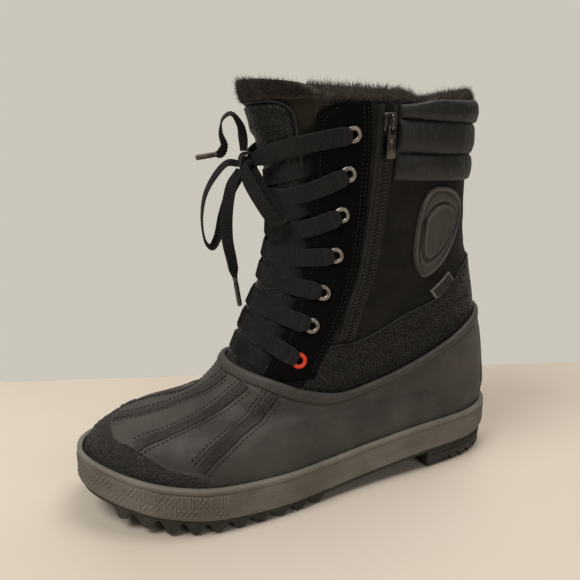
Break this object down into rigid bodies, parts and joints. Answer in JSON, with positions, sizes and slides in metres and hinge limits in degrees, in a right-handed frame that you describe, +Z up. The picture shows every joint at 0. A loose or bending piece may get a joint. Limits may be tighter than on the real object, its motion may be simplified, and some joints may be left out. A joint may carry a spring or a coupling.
{
  "type": "duck boot",
  "caption": "Left winter duck boot with a rubber shell, padded shaft, lace-up front, side zip, fleece collar and a lugged sole.",
  "frame": {"origin": "on the floor, under the middle of the boot's box in plan", "axes": "+X towards the heel and -X towards the toe, -Y the outer side and +Y the inner side of the left foot, +Z up"},
  "size_m": [0.296, 0.1109, 0.257],
  "materials": {
    "black_rubber": "matt lugged outsole",
    "shell_rubber": "matt moulded overshoe",
    "grey_rubber": "matt grey band",
    "black_cloth": "twill nylon",
    "quilted_satin": "glossy quilted nylon",
    "black_leather": "pebbled",
    "black_fleece": "deep pile",
    "worn_metal": "worn gunmetal",
    "red_enamel": "enamelled eyelet",
    "badge_rubber": "moulded badge",
    "label_weave": "woven label",
    "black_lace": "flat webbing"
  },
  "bodies": {
    "boot": {"badge_shield": "badge_rubber", "eyelet_lateral_1": "red_enamel", "eyelet_lateral_2": "worn_metal", "eyelet_lateral_3": "worn_metal", "eyelet_lateral_4": "worn_metal", "eyelet_lateral_5": "worn_metal", "eyelet_lateral_6": "worn_metal", "eyelet_lateral_7": "worn_metal", "eyelet_medial_1": "red_enamel", "eyelet_medial_2": "worn_metal", "eyelet_medial_3": "worn_metal", "eyelet_medial_4": "worn_metal", "eyelet_medial_5": "worn_metal", "eyelet_medial_6": "worn_metal", "eyelet_medial_7": "worn_metal", "fleece_cuff": "black_fleece", "insole": "black_fleece", "lace_aglet_down": "worn_metal", "lace_aglet_up": "worn_metal", "lace_bar": "black_lace", "lace_cross_1": "black_lace", "lace_cross_2": "black_lace", "lace_cross_3": "black_lace", "lace_cross_4": "black_lace", "lace_cross_5": "black_lace", "lace_cross_6": "black_lace", "lace_end_down": "black_lace", "lace_end_up": "black_lace", "lace_knot": "black_lace", "lace_loop_far": "black_lace", "lace_loop_near": "black_lace", "lace_top": "black_lace", "midsole_band": "grey_rubber", "outsole": "black_rubber", "quilted_collar": "quilted_satin", "rubber_shell": "shell_rubber", "side_label": "label_weave", "tongue": "black_leather", "upper": "black_cloth", "zip_chain": "black_cloth", "zip_slider": "worn_metal"},
    "pull": {"zip_pull": "worn_metal"}
  },
  "joints": [
    {"name": "pull_swing", "type": "hinge", "parent": "boot", "child": "pull", "pos_m": [0.03305, -0.04984, 0.22935], "axis": [-0.9986, 0.0537, 0], "range_deg": [-2, 125]}
  ]
}
